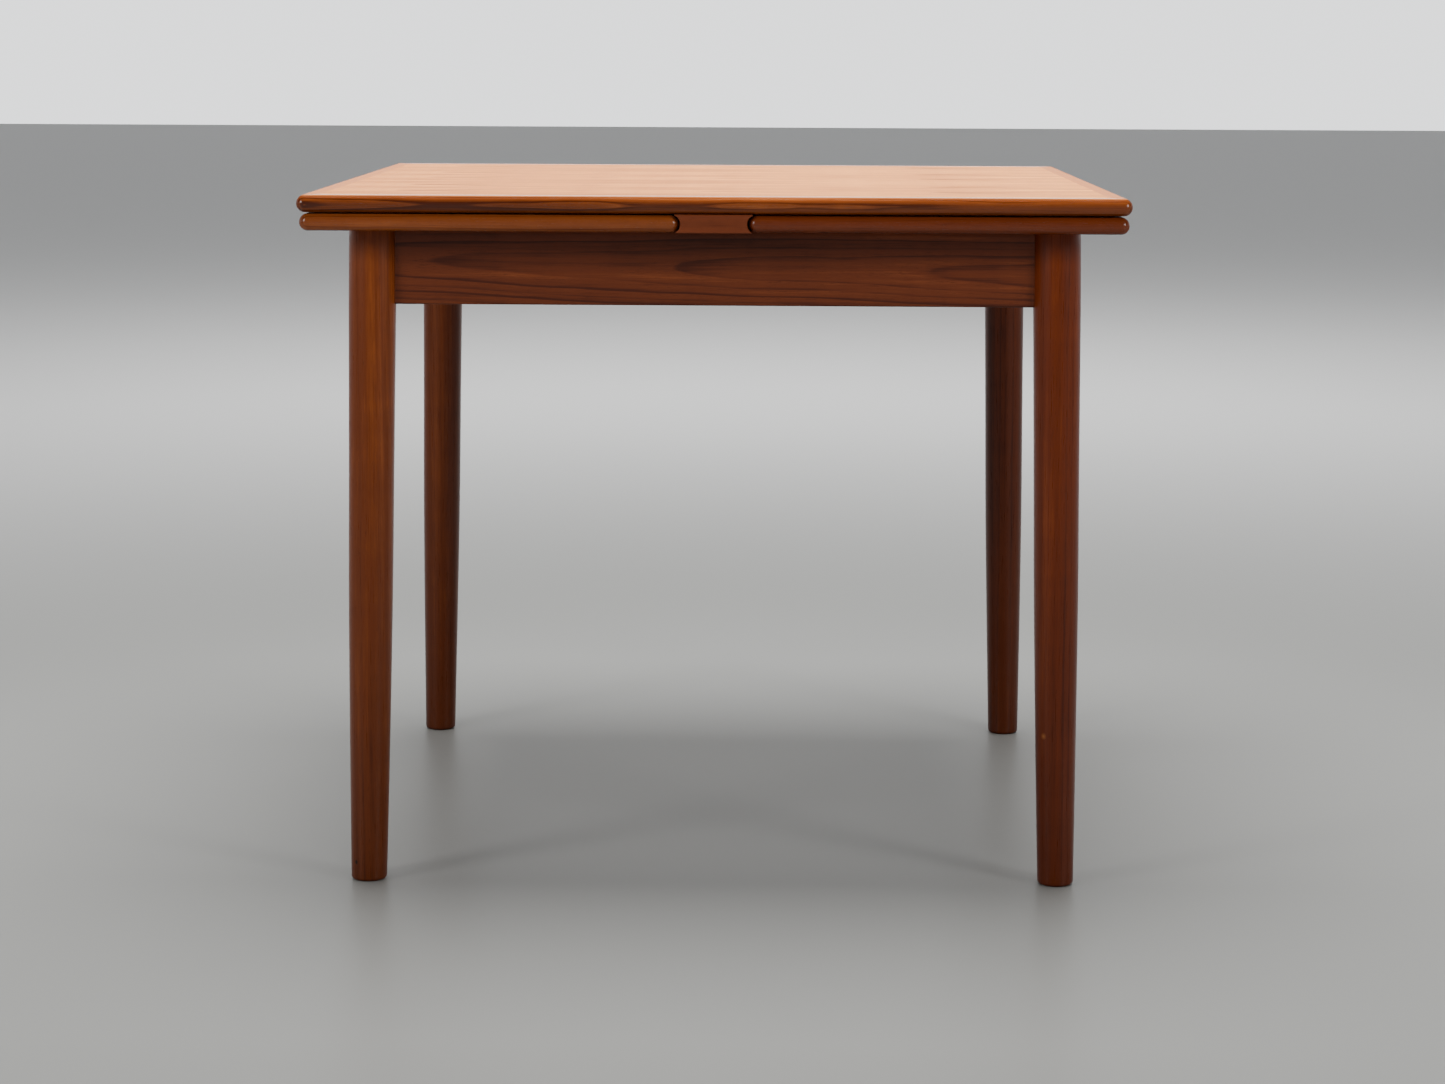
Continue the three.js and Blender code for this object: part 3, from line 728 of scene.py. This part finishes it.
def build_apron(node, along_x, side, look):
    """An apron whose ends are scribed to the round legs. An end apron has notches for the runners."""
    low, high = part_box(node)
    if along_x:
        inner, outer = sorted((abs(low.y), abs(high.y)))
    else:
        inner, outer = sorted((abs(low.x), abs(high.x)))
    rings = []
    for i in range(APRON_STEPS + 1):
        ring = []
        for across, z in apron_outline(inner, outer, low.z, high.z):
            reach = leg_radius(z) + SCRIBE_GAP
            off = across - leg_axis(z)
            end = leg_axis(z) - math.sqrt(reach ** 2 - off ** 2)
            along = -end + 2 * end * i / APRON_STEPS
            point = (along, side * across) if along_x else (side * across, along)
            ring.append((*point, z))
        rings.append(ring)
    piece = new_object(f"{node}_wood", lofted(f"{node}_wood", rings))
    if not along_x:
        leaf = "left" if side < 0 else "right"
        notch_low = notch_bottom(node)
        across = sorted((side * (inner - CUTTER_REACH), side * (outer + CUTTER_REACH)))
        for end in ENDS:
            runner_low, runner_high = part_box(f"{leaf}_runner_{end}")
            notch = box_mesh("notch", (across[0], runner_low.y - NOTCH_ROOM, notch_low),
                             (across[1], runner_high.y + NOTCH_ROOM, high.z + CUTTER_REACH))
            cut(piece, new_object("notch", notch))
    finish_piece(piece, node, "frame", look)


def notch_bottom(node):
    """The height of the floor of an end apron's notches.

    It is the lowest level that the CAD mesh has between the lower and the upper edges of its tenons.
    """
    low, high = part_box(node)
    lowest = low.z + 20 * MM
    highest = high.z - 15 * MM
    heights = {round(vertex.co.z, 5) for vertex in frame["nodes"][node].data.vertices}
    return min((z for z in heights if lowest < z < highest), default=high.z)


def build_aprons():
    """The front apron's rings make a cathedral that opens to the right from near its left end."""
    shared = dict(spacing=0.0044, rings=0.55, bands=0.75, streaks=0.6, patches=0.3, roughness=0.42,
                  wander=0.010)
    shared_lean = (0.05, 0.01)
    pith_y = APRON_LOW.y + 38 * MM
    pith_z = 0.660
    own = {
        "front": dict(seed=31.4, pith=(pith_y, pith_z), lean=(-0.020, -0.020)),
        "back": dict(seed=35.0, pith=(-pith_y, pith_z - 0.02), lean=shared_lean),
        "left": dict(seed=38.5, pith=(0.32, pith_z), lean=shared_lean, grain="Y"),
        "right": dict(seed=42.9, pith=(-0.32, pith_z), lean=shared_lean, grain="Y"),
    }
    looks = {side: teak(f"apron_{side}_teak", APRON_TONES, **look, **shared) for side, look in own.items()}
    for side, look in looks.items():
        along_x = side in ENDS
        build_apron(f"apron_{side}", along_x, ENDS[side] if along_x else SIDES[side], look.material)


# ---------------------------------------------------------------- hidden works


def build_pegs_and_dowels():
    """The main top's guide pegs, with rounded tips, and the stop dowels through the runners' tails."""
    peg_look = beech("peg_beech", seed=2.0, grain="Z")
    dowel_look = beech("dowel_beech", seed=3.0, grain="Y")
    for end in ENDS:
        low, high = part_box(f"guide_peg_{end}")
        radius = (high.x - low.x) / 2
        nose = 4 * MM
        outline = [(0, low.z)]
        outline += [(radius - nose + x, low.z + nose - y) for x, y in arc((0, 0), nose, 90, 0, 8)]
        outline += [(radius, high.z), (0, high.z)]
        middle_y = (low.y + high.y) / 2
        name = f"guide_peg_{end}_wood"
        mesh = turned(name, outline, PEG_SEGMENTS, lambda x, y, z, at=middle_y: (x, y + at, z))
        finish_piece(new_object(name, mesh), f"guide_peg_{end}", "main_top", peg_look)
        for leaf in SIDES:
            node = f"{leaf}_stop_dowel_{end}"
            low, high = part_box(node)
            radius = (high.z - low.z) / 2
            ease = 1 * MM
            outline = [(0, low.y), (radius - ease, low.y), (radius, low.y + ease), (radius, high.y - ease),
                       (radius - ease, high.y), (0, high.y)]
            middle = ((low.x + high.x) / 2, (low.z + high.z) / 2)
            name = f"{node}_wood"
            mesh = turned(name, outline, PEG_SEGMENTS, lambda x, z, y, at=middle: (x + at[0], y, z + at[1]))
            finish_piece(new_object(name, mesh), node, f"{leaf}_stop_dowels", dowel_look)


def build_screw(node, body, look):
    """A countersunk screw with a slot across its head and a turned thread."""
    low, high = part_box(node)
    head = (high.y - low.y) / 2
    middle = ((low.x + high.x) / 2, (low.y + high.y) / 2)
    head_up = node.startswith("centre_board_screw")
    length = high.z - low.z
    shank = SCREW_SHANK_RADIUS
    core = shank - 0.45 * MM
    rim = 0.6 * MM
    thread_start = length * 0.4
    thread_end = length - 5 * MM
    outline = [(0, 0), (head - 0.3 * MM, 0), (head, 0.25 * MM), (head, rim), (shank, rim + head - shank),
               (shank, thread_start)]
    pitch = 1.6 * MM
    depth = thread_start
    while depth + pitch < thread_end:
        outline += [(core, depth + pitch * 0.4), (shank, depth + pitch * 0.8)]
        depth += pitch
    outline += [(core, thread_end), (0, length)]

    def place(x, y, z):
        return (x + middle[0], y + middle[1], high.z - z if head_up else low.z + z)

    piece = new_object(f"{node}_metal", turned(f"{node}_metal", outline, SCREW_SEGMENTS, place))
    face = high.z if head_up else low.z
    slot_half = 0.5 * MM
    slot_depth = 1.1 * MM
    cutter = box_mesh("slot", (middle[0] - CUTTER_REACH, middle[1] - slot_half, face - slot_depth),
                      (middle[0] + CUTTER_REACH, middle[1] + slot_half, face + slot_depth))
    cut(piece, new_object("slot", cutter))
    finish_piece(piece, node, body, look, smooth_angle=30)


def dress_hidden_wood():
    """Runners, rests, stops, keeper and corner blocks keep their CAD shape, with eased edges."""
    ease = 0.7 * MM
    blocks = ("_tail_rest_", "_draw_stop_", "corner_block_", "keeper_rail")
    along_x = beech("runner_beech", seed=5.0)
    along_y = beech("block_beech", seed=6.0, grain="Y")
    for node in frame["nodes"]:
        if "_runner_" in node and "screw" not in node:
            dress(node, along_x, ease)
        elif any(word in node for word in blocks):
            dress(node, along_y, ease)


def build_hidden_works():
    """The pieces that are inside the closed table."""
    build_pegs_and_dowels()
    dress_hidden_wood()
    steel = dulled_steel("screw_steel")
    for body, members in frame["record"]["behaviour"]["bodies"].items():
        for node in members:
            if "screw" in node:
                build_screw(node, body, steel)


# ---------------------------------------------------------------- stage, light, camera


WALL_TOP = 0.34
WALL_FADE = 0.22
BACK_WALL = 1.75
FRONT_WALL = 0.33
CEILING = 0.13
DAYLIGHT = (0.97, 0.985, 1.0, 1.0)


def build_world():
    """A pale studio: bright low down behind the table, softer low down in front, and dim overhead."""
    world = bpy.data.worlds.new("studio")
    bpy.context.scene.world = world
    world.use_nodes = True
    tree = world.node_tree
    background = tree.nodes["Background"]

    def node(operation, *values, clamp=False):
        made = tree.nodes.new("ShaderNodeMath")
        made.operation = operation
        made.use_clamp = clamp
        for value, socket in zip(values, made.inputs):
            if isinstance(value, float):
                socket.default_value = value
            else:
                tree.links.new(value, socket)
        return made.outputs["Value"]

    towards = tree.nodes.new("ShaderNodeTexCoord").outputs["Generated"]
    split = tree.nodes.new("ShaderNodeSeparateXYZ")
    tree.links.new(towards, split.inputs[0])
    below = node("SUBTRACT", WALL_TOP, split.outputs["Z"], clamp=True)
    low = node("MULTIPLY", below, 1 / WALL_FADE, clamp=True)
    behind = node("MULTIPLY_ADD", split.outputs["Y"], 0.8, 0.35, clamp=True)
    wall = node("MULTIPLY_ADD", behind, BACK_WALL - FRONT_WALL, FRONT_WALL)
    tree.links.new(node("ADD", node("MULTIPLY", low, wall), CEILING), background.inputs["Strength"])
    background.inputs["Color"].default_value = DAYLIGHT


def add_softbox(name, place, target, size, power, mirrored=True):
    """A rectangular soft lamp. Without mirrored it lights the scene but isn't seen in reflections."""
    light = bpy.data.lights.new(name, "AREA")
    light.shape = "RECTANGLE"
    light.size, light.size_y = size
    light.energy = power
    lamp = bpy.data.objects.new(name, light)
    bpy.context.scene.collection.objects.link(lamp)
    lamp.location = place
    lamp.visible_camera = False
    lamp.visible_glossy = mirrored
    lamp.rotation_euler = (Vector(target) - Vector(place)).to_track_quat("-Z", "Y").to_euler()


FLOOR_HALF = 30
FLOOR_REACH = 4.6
# The near grey is painted shade round the table; the far pale is painted light that makes up for the lamps'
# fall-off.
FLOOR_NEAR = (0.205, 0.205, 0.195)
FLOOR_FAR = (0.80, 0.80, 0.79)
TABLE_MIDDLE = (0, 0, 0.6)


def build_stage():
    """A floor painted greyer near the table and paler away from it: painted shade round the table and painted
    light far out, which makes up for the lamps' fall-off. Soft light, most of it from above.
    """
    shader = Shader("pale_floor")
    x, y, _ = shader.split(shader.coordinates())
    square = shader.math("ADD", shader.math("MULTIPLY", x, x), shader.math("MULTIPLY", y, y))
    away = shader.math("POWER", shader.math("DIVIDE", square, FLOOR_REACH ** 2), 0.5)
    # Painted shade near the table, painted light further out.
    color = shader.ramp(away, [(0.25, FLOOR_NEAR), (1.0, FLOOR_FAR)])
    shader.join(color, shader.surface.inputs["Base Color"])
    shader.surface.inputs["Roughness"].default_value = 0.42
    shader.surface.inputs["Specular IOR Level"].default_value = 0.4
    corners = [(x * FLOOR_HALF, y * FLOOR_HALF, 0) for x, y in ((-1, -1), (1, -1), (1, 1), (-1, 1))]
    floor = new_object("pale_floor", mesh_from("pale_floor", corners, [(0, 1, 2, 3)]))
    floor.data.materials.append(shader.material)
    build_world()
    add_softbox("ceiling_light", (0.0, 0.1, 2.5), (0, 0.1, 0.7), (1.7, 1.3), 156, mirrored=False)
    add_softbox("left_window", (-2.8, -2.4, 1.9), TABLE_MIDDLE, (0.8, 1.2), 56)
    add_softbox("right_window", (2.8, -2.4, 1.9), TABLE_MIDDLE, (0.8, 1.2), 56)
    add_softbox("front_light", (0.3, -4.4, 3.2), TABLE_MIDDLE, (2.4, 1.2), 44, mirrored=False)
    add_softbox("back_light", (0.2, 4.2, 3.3), (0.2, 4.2, 0), (3.2, 2.0), 150, mirrored=False)


CAMERA_PLACE = (0.0518, -3.598, 0.8913)
CAMERA_YAW = 0.75
CAMERA_PITCH = 7.587
CAMERA_ROLL = 0.264
CAMERA_LENS = 76.9
CAMERA_SHIFT_Y = -0.06


def build_camera():
    """The camera stands in front of the table, a little to the right and above its top. Angles in degrees."""
    data = bpy.data.cameras.new("camera")
    data.lens = CAMERA_LENS
    data.sensor_width = 36.0
    data.shift_y = CAMERA_SHIFT_Y
    camera = bpy.data.objects.new("camera", data)
    bpy.context.scene.collection.objects.link(camera)
    turn = Matrix.Rotation(math.radians(CAMERA_YAW), 4, "Z")
    turn @= Matrix.Rotation(math.radians(90 - CAMERA_PITCH), 4, "X")
    turn @= Matrix.Rotation(math.radians(CAMERA_ROLL), 4, "Z")
    camera.matrix_world = Matrix.Translation(CAMERA_PLACE) @ turn
    bpy.context.scene.camera = camera


build_camera()
build_boards()
build_centre_board()
build_legs()
build_aprons()
build_hidden_works()
build_stage()
